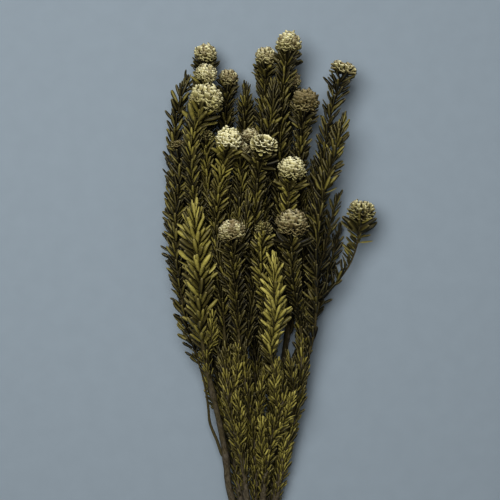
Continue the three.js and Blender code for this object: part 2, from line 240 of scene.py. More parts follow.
def grow(name, tree, mesh, **inputs):
    """Runs a tree on a mesh and keeps the result as a plain mesh object."""
    piece = put(name, mesh)
    modifier = piece.modifiers.new(name, "NODES")
    modifier.node_group = tree
    for item in tree.interface.items_tree:
        if item.in_out == "INPUT" and item.name in inputs:
            modifier[item.identifier] = inputs[item.name]
    evaluated = piece.evaluated_get(bpy.context.evaluated_depsgraph_get())
    plain = bpy.data.meshes.new_from_object(evaluated)
    piece.modifiers.clear()
    piece.data = plain
    plain.name = name
    return piece


def new_material(name, roughness, specular):
    """A principled material, as (material, node tree, shader)."""
    material = bpy.data.materials.new(name)
    material.use_nodes = True
    shader = material.node_tree.nodes["Principled BSDF"]
    shader.inputs["Roughness"].default_value = roughness
    shader.inputs["Specular IOR Level"].default_value = specular
    return material, material.node_tree, shader


def stored(tree, name, output="Fac"):
    """A value stored on the mesh, for a material to read."""
    return add(tree, "ShaderNodeAttribute", attribute_name=name).outputs[output]


def noise(tree, place, scale, detail=2.0, **more):
    return add(tree, "ShaderNodeTexNoise", {"Vector": place, "Scale": scale, "Detail": detail, **more})


def ramp(tree, value, *stops):
    """A colour ramp from (place, colour) stops."""
    made = add(tree, "ShaderNodeValToRGB", {"Fac": value})
    elements = made.color_ramp.elements
    while len(elements) < len(stops):
        elements.new(0.5)
    for element, (place, color) in zip(elements, stops):
        element.position = place
        element.color = (*color, 1)
    return made


def fade(tree, value, start, end, low=0.0, high=1.0):
    """A ramp from one grey to another."""
    return ramp(tree, value, (start, (low, low, low)), (end, (high, high, high)))


def mix(tree, factor, a, b, blend="MIX"):
    """Mixes two colours."""
    a, b = ((*value, 1) if isinstance(value, tuple) else value for value in (a, b))
    made = add(tree, "ShaderNodeMix", {0: factor, 1: a, 2: b}, data_type="RGBA", blend_type=blend)
    return next(s for s in made.outputs if s.enabled)


def cover(tree, shader, color, height, strength, distance):
    """Gives a shader its colour and its bumps."""
    tree.links.new(color, shader.inputs["Base Color"])
    bump = add(tree, "ShaderNodeBump", {"Height": height, "Strength": strength, "Distance": distance})
    tree.links.new(bump.outputs["Normal"], shader.inputs["Normal"])


def bark_material():
    material, tree, shader = new_material("bark", 0.85, 0.2)
    on_bark = stored(tree, "on_bark", "Vector")
    girth = stored(tree, "girth")
    cut = stored(tree, "cut")
    long_way = add(tree, "ShaderNodeMapping", {"Vector": on_bark, "Scale": (1, 1, 0.22)})
    fissures = noise(tree, long_way, 3.2, 6, Roughness=0.65)
    patches = noise(tree, on_bark, 0.6, 2)
    scars = add(tree, "ShaderNodeTexVoronoi", {"Vector": on_bark, "Scale": 1.5, "Randomness": 0.7})
    brown = ramp(tree, fissures, (0.30, (0.014, 0.010, 0.006)), (0.5, (0.052, 0.042, 0.027)),
                 (0.70, (0.140, 0.118, 0.082)))
    green = ramp(tree, fissures, (0.30, (0.022, 0.018, 0.007)), (0.65, (0.070, 0.056, 0.020)))
    grown = fade(tree, girth, 0.45, 0.85)
    wood = mix(tree, grown, green, brown)
    patchy = mix(tree, 1.0, fade(tree, patches, 0.48, 0.64, 0.0, 0.6), grown, "MULTIPLY")
    grey = mix(tree, patchy, wood, (0.115, 0.100, 0.078))
    marked = mix(tree, fade(tree, scars, 0.12, 0.26, 0.75, 0.0), grey, (0.035, 0.026, 0.018))
    grain = noise(tree, on_bark, 9.0, 4)
    pale = ramp(tree, grain, (0.35, (0.25, 0.17, 0.09)), (0.65, (0.46, 0.35, 0.20)))
    color = mix(tree, fade(tree, cut, 0.5, 0.9), marked, pale)
    height = plus(tree, fissures, times(tree, scars.outputs["Distance"], 0.7))
    cover(tree, shader, color, height, 0.8, 0.0006)
    return material


def wood_tree():
    tree, given = new_tree("wood", Step=0.003, Sides=10, Lumps=0.0005, Bark="NodeSocketMaterial")
    curve = add(tree, "GeometryNodeMeshToCurve", {"Mesh": given["Geometry"]})
    curve = add(tree, "GeometryNodeCurveSplineType", {"Curve": curve}, spline_type="CATMULL_ROM")
    curve = add(tree, "GeometryNodeResampleCurve", {"Curve": curve, "Length": given["Step"]}, mode="LENGTH")
    along = add(tree, "GeometryNodeSplineParameter").outputs["Length"]
    curve = store(tree, curve, "along", along)
    circle = add(tree, "GeometryNodeCurvePrimitiveCircle", {"Resolution": given["Sides"], "Radius": 1.0})
    around = add(tree, "GeometryNodeInputPosition")
    circle = store(tree, circle, "around", around, kind="FLOAT_VECTOR")
    tube = add(tree, "GeometryNodeCurveToMesh", {
        "Curve": curve, "Profile Curve": circle, "Scale": named(tree, "radius"), "Fill Caps": True,
    })
    # a place on the bark in a space where every twig is the same width, with no seam
    length = vector(tree, z=times(tree, named(tree, "along"), 350.0))
    place = add(tree, "ShaderNodeVectorMath", {0: named(tree, "around", "FLOAT_VECTOR"), 1: length},
                operation="ADD")
    tube = store(tree, tube, "on_bark", place, kind="FLOAT_VECTOR")
    lumps = noise(tree, add(tree, "GeometryNodeInputPosition"), 260.0, 3.0)
    depth = times(tree, calc(tree, "SUBTRACT", lumps, 0.5), given["Lumps"])
    out = add(tree, "ShaderNodeVectorMath", {
        "Vector": add(tree, "GeometryNodeInputNormal"), "Scale": depth,
    }, operation="SCALE")
    tube = add(tree, "GeometryNodeSetPosition", {"Geometry": tube, "Offset": out})
    end_tree(tree, tube, given["Bark"])
    return tree


BARK = bark_material()
WOOD = wood_tree()

# node name: its rings from the foot up
stem_rings = {node: rings_of(node)[1:-1] for node in frame["nodes"] if node.startswith("stem")}
shoot_rings = {node: rings_of(node)[1:-1] for node in frame["nodes"] if node.startswith("shoot")}


def twig_rings(node):
    """A shoot's rings that go round its twig, without the rings of leaf tips."""
    return [ring for ring in shoot_rings[node] if ring[1] < ring[2] * WHORL_RATIO]


def twig_radius(away):
    """A side twig's radius this far from its foot."""
    return max(TWIG_TIP, TWIG_FOOT + (TWIG_TIP - TWIG_FOOT) * min(1, away / TWIG_TAPER))


for stem, rings in stem_rings.items():
    shoots = [node for node in shoot_rings if node[6] == stem[5]]
    top = rings[-1][0]
    leader = min(shoots, key=lambda node: (shoot_rings[node][0][0] - top).length)
    line = smooth_line(middles(rings) + middles(twig_rings(leader)[1:]))
    along = lengths_along(line)
    stem_length = lengths_along(middles(rings))[-1]
    foot, end = rings[1][1] * BARK_OUT, rings[-1][1]
    radius = [
        foot + (end - foot) * s / stem_length if s < stem_length
        else max(TWIG_TIP, end - (end - LEADER_RADIUS) * (s - stem_length) / LEADER_TAPER)
        for s in along
    ]
    lines = []
    for node in shoots:
        if node == leader:
            continue
        twig = middles(twig_rings(node))
        heel = min(range(len(line)), key=lambda n: (line[n] - twig[0] + Vector((0, TWIG_HEEL, 0))).length)
        for n in range(len(line)):  # the stem swells where a twig leaves it
            off = (along[n] - along[heel] - SWELLING_RISE) / SWELLING_LENGTH
            radius[n] += SWELLING * math.exp(-(off**2))
        side = smooth_line([line[heel], line[heel].lerp(twig[0], 0.5) + Vector((0, 0.0015, 0)), *twig])
        lines.append((side, {"radius": [twig_radius(away) for away in lengths_along(side)]}))
    lines.insert(0, (line, {"radius": radius}))
    for side, values in lines:
        values["girth"] = [min(1, r / THICK_WOOD) for r in values["radius"]]
    piece = grow(
        f"{stem}_wood", WOOD, line_mesh(stem, lines), Step=BARK_STEP, Sides=BARK_SIDES, Lumps=BARK_LUMPS,
        Bark=BARK,
    )
    cut_end = line[0]
    shown = piece.data.attributes.new("cut", "FLOAT", "POINT")
    for vert in piece.data.vertices:
        away = vert.co - cut_end
        on_cut = away.length < foot * CUT_EDGE and abs(away.y) < CUT_DEPTH
        shown.data[vert.index].value = 1.0 if on_cut else 0.0
        if away.length < CUT_NEAR:  # the cut slants across the stem
            vert.co.y += CUT_SLANT * away.x * max(0, 1 - away.y / SLANT_LENGTH)
    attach(piece, "root")
    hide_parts(stem)


# ---- The leaves ------------------------------------------------------------------------------------------
# Narrow, blunt, leathery leaves, dried olive green, in a tight spiral round each shoot. They lean forwards,
# crowd into a tuft at a bare tip and flare round the foot of a cone. Most twist to face up, those that reach
# the table lie on it, and two shoots have lost theirs on one side.

GOLDEN_TURN = math.pi * (3 - math.sqrt(5))
LEAF_WIDTH = 0.25  # as a share of its length
LEAF_SPACING = 0.00066  # along the twig, one leaf to the next
BARE_SIDE = (0.8, -0.6, 0.0)  # where an open shoot has lost its leaves
LEAF_LENGTH = 0.0128  # of an ordinary leaf
LEAF_REACH = 0.009  # how far such a leaf's tip is from its twig
BARE_REACH = 0.003  # the same on the bare foot of a shoot
TWIG_GIRTH = 0.0012  # a leaf's foot is 0.8 of this from the middle of its twig
FLARE = 0.22  # how much wider the leaves spread under a cone
FLARE_LENGTH = 0.020
TUFT_LENGTH = 0.014  # the end of a bare tip on which the leaves close

# share of the length, share of the width
LEAF_OUTLINE = [
    (0, 0.45), (0.1, 0.55), (0.3, 0.85), (0.55, 1), (0.75, 0.96), (0.9, 0.75), (0.97, 0.48), (1, 0.22),
]
# corners round the blade: across it and up from its middle, as shares of half its width
LEAF_CORNERS = ((-1, 0.16), (0, 0.02), (1, 0.16), (0, -0.20))


def closed(name, shape, rings):
    """Rings of corners closed into one shape."""
    for low, high in zip(rings, rings[1:]):
        for n in range(len(low)):
            shape.faces.new((low[n], low[n - 1], high[n - 1], high[n]))
    shape.faces.new(rings[0])
    shape.faces.new(reversed(rings[-1]))
    bmesh.ops.recalc_face_normals(shape, faces=shape.faces)
    mesh = bpy.data.meshes.new(name)
    shape.to_mesh(mesh)
    shape.free()
    return bpy.data.objects.new(name, mesh)


def leaf_shape(name, bend, hook, twist, width=LEAF_WIDTH):
    """A leaf one unit long, standing on its foot along Z, with its hollow upper face towards +Y."""
    leaf = bmesh.new()
    along = leaf.verts.layers.float.new("along")
    across = leaf.verts.layers.float.new("across")
    rings = []
    place, before = Vector(), 0
    for share, wide in LEAF_OUTLINE:
        lean = bend * (0.45 - share) + hook * max(0, share - 0.6) ** 2
        ahead = Vector((0, -math.sin(lean), math.cos(lean)))
        place = place + ahead * (share - before)
        before = share
        turn = Matrix.Rotation(twist * (share - 0.5), 3, ahead)
        side = turn @ Vector((1, 0, 0))
        up = side.cross(ahead) * -1
        half = width * wide / 2
        corners = []
        for x, y in LEAF_CORNERS:
            vert = leaf.verts.new(place + side * (x * half) + up * (y * half))
            vert[along] = share
            vert[across] = abs(x)
            corners.append(vert)
        rings.append(corners)
    return closed(name, leaf, rings)


def shape_set(name, shapes):
    """A collection of shapes for a tree to pick from."""
    collection = bpy.data.collections.new(name)
    for shape in shapes:
        collection.objects.link(shape)
    return collection


def varied(tree, value, noise, amount):
    """A value raised and lowered by a noise."""
    return plus(tree, value, times(tree, calc(tree, "SUBTRACT", noise, 0.5), amount))


def leaf_material():
    material, tree, shader = new_material("leaf", 0.52, 0.32)
    along = stored(tree, "along")
    across = stored(tree, "across")
    shade = stored(tree, "shade")
    place = add(tree, "ShaderNodeTexCoord").outputs["Object"]
    blotches = noise(tree, place, 330.0, 3.0)
    wide = noise(tree, place, 26.0, 2.0)
    tone = varied(tree, varied(tree, shade, blotches, 0.5), wide, 0.5)
    olive = ramp(tree, tone, (0.0, (0.010, 0.008, 0.003)), (0.35, (0.055, 0.045, 0.011)),
                 (0.65, (0.190, 0.164, 0.036)), (1.0, (0.380, 0.335, 0.090)))
    tip = mix(tree, fade(tree, along, 0.90, 1.0, 0.0, 0.6), olive, (0.24, 0.20, 0.085))
    rib = mix(tree, fade(tree, across, 0.0, 0.30, 0.30, 0.0), tip, (0.20, 0.18, 0.06))
    foot = mix(tree, fade(tree, along, 0.0, 0.22, 0.7, 0.0), rib, (0.03, 0.022, 0.01))
    cover(tree, shader, foot, noise(tree, place, 1500.0, 4.0), 0.5, 0.0003)
    return material


def leaf_tree():
    tree, given = new_tree(
        "leaves", Spacing=0.0008, Shapes="NodeSocketCollection", Kinds=4, Seed=0, Roll=0.35, Wander=0.22,
        Leaf="NodeSocketMaterial", **{"Face up": 0.6},
    )

    def chance(low, high, salt, kind="FLOAT"):
        seed = plus(tree, times(tree, given["Seed"], 31.0), float(salt))
        links = {"Min": low, "Max": high, "Seed": seed}
        return add(tree, "FunctionNodeRandomValue", links, data_type=kind)

    def turned(rotation, axis, angle):
        by = add(tree, "FunctionNodeAxisAngleToRotation", {"Axis": axis, "Angle": angle})
        links = {"Rotation": rotation, "Rotate By": by}
        return add(tree, "FunctionNodeRotateRotation", links, rotation_space="LOCAL")

    curve = add(tree, "GeometryNodeMeshToCurve", {"Mesh": given["Geometry"]})
    curve = add(tree, "GeometryNodeCurveSplineType", {"Curve": curve}, spline_type="CATMULL_ROM")
    links = {"Curve": curve, "Length": given["Spacing"]}
    curve = add(tree, "GeometryNodeResampleCurve", links, mode="LENGTH")
    ahead = add(tree, "FunctionNodeAlignRotationToVector", {
        "Vector": add(tree, "GeometryNodeInputTangent"),
    }, axis="Z")
    turn = times(tree, add(tree, "GeometryNodeInputIndex"), GOLDEN_TURN)
    spiral = turned(ahead, (0, 0, 1), plus(tree, turn, chance(-0.25, 0.25, 1)))
    lean = plus(tree, named(tree, "spread"), chance(
        times(tree, given["Wander"], -1.0), given["Wander"], 2))
    leaning = turned(spiral, (1, 0, 0), lean)
    foot = vector(tree, y=times(tree, named(tree, "girth"), -0.8))
    outward = add(tree, "FunctionNodeRotateVector", {"Vector": foot, "Rotation": spiral})
    # twisted at the foot so that more of each blade faces up: the upper face or, above the twig, the lower
    above = calc(tree, "SIGN", add(tree, "ShaderNodeSeparateXYZ", {0: outward}).outputs["Z"])
    facing = add(tree, "FunctionNodeAlignRotationToVector", {
        "Rotation": leaning, "Factor": given["Face up"],
        "Vector": vector(tree, z=times(tree, above, -1.0)),
    }, axis="Y", pivot_axis="Z")
    roll = chance(times(tree, given["Roll"], -1.0), given["Roll"], 3)
    rolled = turned(facing, (0, 0, 1), roll)
    curve = store(tree, curve, "foot", outward, kind="FLOAT_VECTOR")
    size = times(tree, named(tree, "length"), chance(0.84, 1.12, 4))
    width = times(tree, size, chance(0.88, 1.14, 5))
    kept = add(tree, "FunctionNodeRandomValue", {"Probability": named(tree, "keep"), "Seed": given["Seed"]},
               data_type="BOOLEAN")
    towards = add(tree, "ShaderNodeVectorMath", {
        0: add(tree, "ShaderNodeVectorMath", {0: outward}, operation="NORMALIZE"), 1: BARE_SIDE,
    }, operation="DOT_PRODUCT").outputs["Value"]
    on_leafy_side = add(tree, "FunctionNodeCompare", {
        "A": times(tree, towards, named(tree, "bare")), "B": 0.2,
    }, operation="LESS_THAN")
    kept = add(tree, "FunctionNodeBooleanMath", {0: kept, 1: on_leafy_side}, operation="AND")
    shapes = add(tree, "GeometryNodeCollectionInfo", {
        "Collection": given["Shapes"], "Separate Children": True, "Reset Children": True,
    })
    leaves = add(tree, "GeometryNodeInstanceOnPoints", {
        "Points": curve, "Selection": kept, "Instance": shapes, "Pick Instance": True,
        "Instance Index": chance(0, calc(tree, "SUBTRACT", given["Kinds"], 1.0), 6, "INT"),
        "Rotation": rolled, "Scale": vector(tree, width, width, size),
    })
    leaves = add(tree, "GeometryNodeSetPosition", {
        "Geometry": leaves, "Offset": named(tree, "foot", "FLOAT_VECTOR"),
    })
    shade = plus(tree, named(tree, "tone"), chance(-0.30, 0.30, 7))
    leaves = store(tree, leaves, "shade", shade, "INSTANCE")
    # a leaf that would pass through the table lies on it
    real = add(tree, "GeometryNodeRealizeInstances", {"Geometry": leaves})
    x, y, z = add(tree, "ShaderNodeSeparateXYZ", {0: add(tree, "GeometryNodeInputPosition")}).outputs
    height = calc(tree, "MAXIMUM", z, plus(tree, times(tree, z, 0.06), 0.0006))
    rested = add(tree, "GeometryNodeSetPosition", {"Geometry": real, "Position": vector(tree, x, y, height)})
    end_tree(tree, rested, given["Leaf"])
    return tree


LEAF = leaf_material()
LEAVES = leaf_tree()
LEAF_SHAPES = shape_set("leaf shapes", [
    leaf_shape("leaf_straight", 0.25, 0.0, 0.1),
    leaf_shape("leaf_incurved", 0.75, 0.0, -0.25),
    leaf_shape("leaf_bowed", 0.55, -1.2, 0.35),
    leaf_shape("leaf_twisted", 0.4, 1.6, 0.8),
    leaf_shape("leaf_narrow", 0.5, 0.0, -0.5, 0.15),
])

# how light each shoot's leaves are, partly their own tone and partly painted light and shade: lighter on the
# shoots that lie on top, darker on those deep in the bunch; the others are TONE
TONE = 0.36
TONES = {
    "a1": 0.58, "f1": 0.70, "a2": 0.28, "a3": 0.28, "b1": 0.40, "b2": 0.40, "c1": 0.30, "c2": 0.30,
    "c3": 0.24, "c4": 0.38, "d1": 0.18, "d2": 0.28, "d3": 0.24, "e1": 0.26, "e2": 0.24, "e3": 0.22,
    "e4": 0.32, "e6": 0.24, "g1": 0.20, "g2": 0.24, "g3": 0.38, "g4": 0.36, "h1": 0.34, "h2": 0.22,
    "h3": 0.25, "h4": 0.23, "h5": 0.40, "h6": 0.30,
}
# shoots with fewer and bigger leaves: their spacing, their size, how much wider they spread and what share
# of the shoot is bare on one side
OPEN_SHOOTS = {
    "a1": (0.0008, 1.25, 1.25, 0.0), "a2": (0.0013, 1.12, 1.20, 0.0), "a3": (0.0013, 1.15, 1.25, 0.0),
    "c1": (0.0008, 1.10, 1.10, 0.0), "f1": (0.0007, 1.10, 1.00, 0.0), "g2": (0.0013, 1.10, 1.15, 0.0),
    "h1": (0.0010, 1.15, 1.90, 0.8), "h3": (0.0018, 1.20, 1.35, 0.0), "h4": (0.0018, 1.20, 1.35, 0.0),
    "h6": (0.0012, 1.10, 1.20, 0.7),
}
LEAFLESS_FEET = {"g3": 0.030, "g4": 0.050}  # the shoots with no leaves on this length from their foot
PAINTED_DEPTH_SHADE = 2.2  # painted shade: the leaves are lighter by this much for each metre higher and darker deep in the bunch, where shade falls
cones = {node.replace("cone", "shoot"): node for node in frame["nodes"] if node.startswith("cone")}
COLLAR_LENGTH = 0.013  # the end of a twig that carries its cone's collar
CONE_RADIUS = 0.012  # of an ordinary cone, with a collar of the size given below


def grow_leaves(name, mesh, spacing, seed):
    return grow(
        name, LEAVES, mesh, Spacing=spacing, Shapes=LEAF_SHAPES, Kinds=len(LEAF_SHAPES.objects), Seed=seed,
        Leaf=LEAF,
    )


def cone_radius(node):
    return max(ring[1] for ring in rings_of(node))


for node, rings in shoot_rings.items():
    tips = [ring[1] for ring in rings if ring[1] >= ring[2] * WHORL_RATIO]
    twig = twig_rings(node)
    bare = len(twig) - len(tips) - 1  # rings below the first whorl
    line = smooth_line(middles(twig))
    along = lengths_along(line)
    marks = lengths_along(middles(twig))
    start = marks[bare]
    reaches = [BARE_REACH] * bare + [*tips, tips[-1]]
    values = {"length": [], "spread": [], "keep": [], "girth": [], "tone": [], "bare": []}
    total = along[-1]
    spacing, bigger, wider, bare_side = OPEN_SHOOTS.get(node[6:], (LEAF_SPACING, 1.0, 1.0, 0.0))
    for point, s in zip(line, along):
        place = min(s / total * marks[-1], marks[-1] - 1e-6)
        n = next(n for n in range(len(marks)) if marks[n + 1] > place)
        reach = reaches[n] + (reaches[n + 1] - reaches[n]) * (place - marks[n]) / (marks[n + 1] - marks[n])
        full = reach / LEAF_REACH
        length = LEAF_LENGTH * bigger * full**0.55
        spread = wider * math.asin(min(0.86, reach * 0.93 / length))
        left = total - s
        if node in cones:  # flares under the cone
            flare = math.exp(-((left / FLARE_LENGTH) ** 2))
            spread += flare * FLARE
        else:  # closes into a tuft
            close = math.exp(-((left / TUFT_LENGTH) ** 2))
            spread *= 1 - 0.72 * close
            length *= 1 - 0.30 * close
        values["length"].append(length)
        values["spread"].append(spread)
        leafless = place < max(start - 0.012, LEAFLESS_FEET.get(node[6:], 0))
        values["keep"].append(0.0 if leafless else min(1, 0.55 + (place - start) / 0.03))
        values["girth"].append(TWIG_GIRTH)
        tone = TONES.get(node[6:], TONE)
        # painted shade: the tone rises with the leaf's height over the table
        values["tone"].append(tone + 0.22 * (s / total - 0.6) + PAINTED_DEPTH_SHADE * (point.z - 0.06))
        values["bare"].append(1.0 if s < total * bare_side else 0.0)
    lines = [(line, values)]
    if node in cones:  # a collar of long leaves stands out under the cone and hooks up beside it
        first = next(n for n in range(len(line)) if along[n] > total - COLLAR_LENGTH)
        collar = [*line[first:], line[-1] * 2 - line[-2]]
        shares = [n / (len(collar) - 1) for n in range(len(collar))]
        size = cone_radius(cones[node]) / CONE_RADIUS
        lines.append((collar, {
            "length": [size * (0.0185 - 0.005 * share) for share in shares],
            "spread": [1.15 - 0.33 * share for share in shares], "keep": [1.0] * len(collar),
            "girth": [0.001] * len(collar), "tone": [values["tone"][-1] - 0.18] * len(collar),
            "bare": [0.0] * len(collar),
        }))
    piece = grow_leaves(f"{node}_leaves", line_mesh(node, lines), spacing, sum(map(ord, node)))
    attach(piece, "root")
    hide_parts(node)


# ---- The leaves low on the stems -------------------------------------------------------------------------
# Above the band the stems keep shorter, older leaves that lie closer to the bark. They start as strays, just
# above the band on most stems, and thicken upwards.

LOW_LEAVES_FROM = {
    "a": 0.215, "b": 0.115, "c": 0.080, "d": 0.078, "e": 0.078, "f": 0.078, "g": 0.080, "h": 0.085,
}
LOW_LEAVES_TO = {"g": 0.225}  # the others are leafy up to their top
LOW_LEAF_LENGTH = 0.0085
LOW_LEAF_GROWTH = 0.003  # how much longer the higher ones are
LOW_LEAF_SPREAD = 0.50
LOW_LEAF_TONE = 0.37
LOW_LEAF_SPACING = 0.00055

for stem, rings in stem_rings.items():
    line = smooth_line(middles(rings))
    along = lengths_along(line)
    start = LOW_LEAVES_FROM[stem[5]]
    values = {"length": [], "spread": [], "keep": [], "girth": [], "tone": []}
    for s in along:
        up = max(0, s - start)
        values["length"].append(LOW_LEAF_LENGTH + LOW_LEAF_GROWTH * min(1, up / 0.06))
        values["spread"].append(LOW_LEAF_SPREAD)
        leafy = start < s < LOW_LEAVES_TO.get(stem[5], along[-1])
        values["keep"].append(min(1, 0.25 + up / 0.04) if leafy else 0.0)
        values["girth"].append(0.0040 - 0.0018 * s / along[-1])
        values["tone"].append(LOW_LEAF_TONE)
    mesh = line_mesh(stem, [(line, values)])
    piece = grow_leaves(f"{stem}_low_leaves", mesh, LOW_LEAF_SPACING, sum(map(ord, stem)))
    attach(piece, "root")


# ---- The small side shoots -------------------------------------------------------------------------------
# Short leafy shoots without cones. They grow from the flanks of the stems above the band and of the shoots
# at the back, and fill the room between them.

SIDE_SPACING = 0.0008
SIDE_FOOT = 0.013  # how far it keeps to the way it leaves
TABLE_GAP = 0.004  # a side twig stays at least this high over the table
# distance from the foot of the stem or shoot, lean to the right, rise, length, how light
SIDE_SHOOTS = {
    "stem_a": [(0.235, 0.30, 0.10, 0.050, 0.45)],
    "stem_b": [(0.150, 0.22, 0.10, 0.060, 0.45), (0.195, 0.28, 0.05, 0.060, 0.4)],
    "stem_c": [
        (0.120, 0.18, 0.12, 0.060, 0.5), (0.160, -0.22, 0.14, 0.055, 0.45),
        (0.200, 0.25, 0.10, 0.060, 0.4),
    ],
    "stem_d": [
        (0.115, -0.16, 0.10, 0.055, 0.4), (0.155, 0.22, 0.12, 0.060, 0.4),
        (0.190, -0.26, 0.10, 0.055, 0.3),
    ],
    "stem_e": [
        (0.112, 0.18, 0.16, 0.060, 0.6), (0.150, -0.22, 0.20, 0.060, 0.55),
        (0.185, 0.24, 0.10, 0.060, 0.4),
    ],
    "stem_f": [
        (0.110, -0.14, 0.14, 0.060, 0.6), (0.140, 0.20, 0.10, 0.055, 0.55),
        (0.175, -0.25, 0.10, 0.060, 0.5),
    ],
    "stem_g": [
        (0.112, -0.16, 0.10, 0.055, 0.55), (0.150, -0.26, 0.14, 0.060, 0.5),
        (0.190, -0.20, 0.10, 0.035, 0.4),
    ],
    "stem_h": [(0.125, -0.14, 0.12, 0.055, 0.55), (0.160, -0.22, 0.14, 0.050, 0.5)],
    "shoot_c3": [(0.060, -0.24, -0.10, 0.075, 0.25), (0.100, 0.22, -0.10, 0.075, 0.2)],
    "shoot_c1": [(0.080, 0.25, -0.20, 0.070, 0.2), (0.130, 0.22, -0.20, 0.070, 0.2)],
    "shoot_c2": [(0.070, 0.25, -0.25, 0.070, 0.2)],
    "shoot_d1": [(0.040, -0.25, -0.15, 0.070, 0.2), (0.080, 0.25, -0.15, 0.070, 0.2)],
    "shoot_e1": [(0.090, -0.25, -0.25, 0.075, 0.2), (0.130, -0.22, -0.25, 0.065, 0.2)],
    "shoot_e3": [(0.090, 0.20, -0.25, 0.070, 0.2), (0.060, -0.25, -0.25, 0.070, 0.2)],
    "shoot_g1": [(0.090, -0.25, -0.15, 0.070, 0.2)],
    "shoot_g2": [(0.070, -0.25, -0.20, 0.070, 0.25), (0.110, -0.20, -0.20, 0.060, 0.25)],
    "shoot_b1": [(0.080, 0.25, -0.35, 0.070, 0.2), (0.120, -0.25, -0.35, 0.060, 0.2)],
}

for parent, sides in SIDE_SHOOTS.items():
    rings = stem_rings[parent] if parent in stem_rings else twig_rings(parent)
    line = smooth_line(middles(rings))
    along = lengths_along(line)
    leafy, twigs = [], []
    for away, lean, rise, length, tone in sides:
        n = min(range(1, len(line) - 1), key=lambda n: abs(along[n] - away))
        ahead = (line[n + 1] - line[n - 1]).normalized()
        aside = Vector((lean, 0, rise))
        twig = smooth_line([
            line[n], line[n] + (ahead + aside) * SIDE_FOOT,
            line[n] + (ahead * 0.55 + aside * 0.72) * length, line[n] + (ahead + aside) * length,
        ])
        for point in twig:
            point.z = max(point.z, TABLE_GAP)
        shares = [n / (len(twig) - 1) for n in range(len(twig))]
        leafy.append((twig, {
            "length": [0.0112 * (0.75 + 0.5 * share - 0.55 * share**3) for share in shares],
            "spread": [0.60 - 0.35 * share**3 for share in shares],
            "keep": [min(1, 6 * share) for share in shares], "girth": [0.001] * len(twig),
            "tone": [tone + 0.12 * share for share in shares],
        }))
        twigs.append((twig, {
            "radius": [0.0014 - 0.0006 * share for share in shares], "girth": [0.2] * len(twig),
        }))
    mesh = line_mesh(parent, leafy)
    piece = grow_leaves(f"{parent}_side_leaves", mesh, SIDE_SPACING, sum(map(ord, parent)) + 1)
    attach(piece, "root")
    piece = grow(
        f"{parent}_side_twigs", WOOD, line_mesh(parent, twigs), Step=BARK_STEP, Sides=8, Lumps=0.0004,
        Bark=BARK,
    )
    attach(piece, "root")


# ---- The cones -------------------------------------------------------------------------------------------
# A globe of papery bracts at the end of most shoots. Every bract has a narrow brown claw and a broad cream
# tip that curls outwards and is ruffled at its rim. Young cones are greener and leafier, and old ones have
# opened into a rosette.

# share of the length, share of the width
BRACT_OUTLINE = [(0, 0.42), (0.35, 0.5), (0.6, 0.72), (0.78, 0.95), (0.89, 1.0), (0.96, 0.85), (1, 0.5)]
BRACT_HALF_THICK = 0.035  # of the bract one unit long


def bract_shape(name, curl, ruffle, width, cup):
    """A bract one unit long, standing on its claw along Z, with its hollow upper face towards +Y."""
    bract = bmesh.new()
    along = bract.verts.layers.float.new("along")
    across = bract.verts.layers.float.new("across")
    rings = []
    place, before = Vector(), 0
    for share, wide in BRACT_OUTLINE:
        lean = curl * max(0, share - 0.45) ** 1.6 / 0.55**1.6
        ahead = Vector((0, -math.sin(lean), math.cos(lean)))
        place = place + ahead * (share - before)
        before = share
        up = Vector((0, math.cos(lean), math.sin(lean)))
        half = width * wide / 2
        corners = []
        for x in (-1, -0.5, 0, 0.5, 1):
            wave = ruffle * share**3 * math.sin(x * 5.5 + share * 7) * (0.4 + abs(x))
            raised = up * (cup * half * x * x + wave * width)
            corners.append((place + Vector((x * half, 0, 0)) + raised, x))
        ring = [(corner + up * BRACT_HALF_THICK, x) for corner, x in corners]
        ring += [(corner - up * BRACT_HALF_THICK, x) for corner, x in reversed(corners[1:-1])]
        made = []
        for corner, x in ring:
            vert = bract.verts.new(corner)
            vert[along] = share
            vert[across] = abs(x)
            made.append(vert)
        rings.append(made)
    return closed(name, bract, rings)


def bract_material():
    material, tree, shader = new_material("bract", 0.75, 0.2)
    along = stored(tree, "along")
    across = stored(tree, "across")
    shade = stored(tree, "shade")
    green = stored(tree, "green")
    place = add(tree, "ShaderNodeTexCoord").outputs["Object"]
    blotches = noise(tree, place, 420.0, 4.0)
    tone = varied(tree, shade, blotches, 0.7)
    dry = ramp(tree, along, (0.30, (0.12, 0.10, 0.045)), (0.60, (0.32, 0.285, 0.13)),
               (0.82, (0.47, 0.43, 0.22)), (0.97, (0.78, 0.74, 0.50)))
    young = ramp(tree, along, (0.25, (0.035, 0.030, 0.010)), (0.7, (0.13, 0.115, 0.032)),
                 (0.9, (0.24, 0.215, 0.075)), (1.0, (0.46, 0.42, 0.20)))
    # mixed towards the darker young colour by the stored green: partly young bracts, partly painted shade
    # towards the cone's foot with the crown lighter as if lit from above
    color = mix(tree, fade(tree, green, 0.0, 1.0), dry, young)
    dark = mix(tree, 1.0, color, (0.36, 0.31, 0.28), "MULTIPLY")
    darker = mix(tree, fade(tree, tone, 0.25, 0.75, 1.0, 0.0), color, dark)
    rim = mix(tree, fade(tree, across, 0.75, 1.0, 0.0, 0.35), darker, (0.55, 0.51, 0.31))
    cover(tree, shader, rim, noise(tree, place, 1300.0, 5.0), 0.6, 0.0004)
    return material


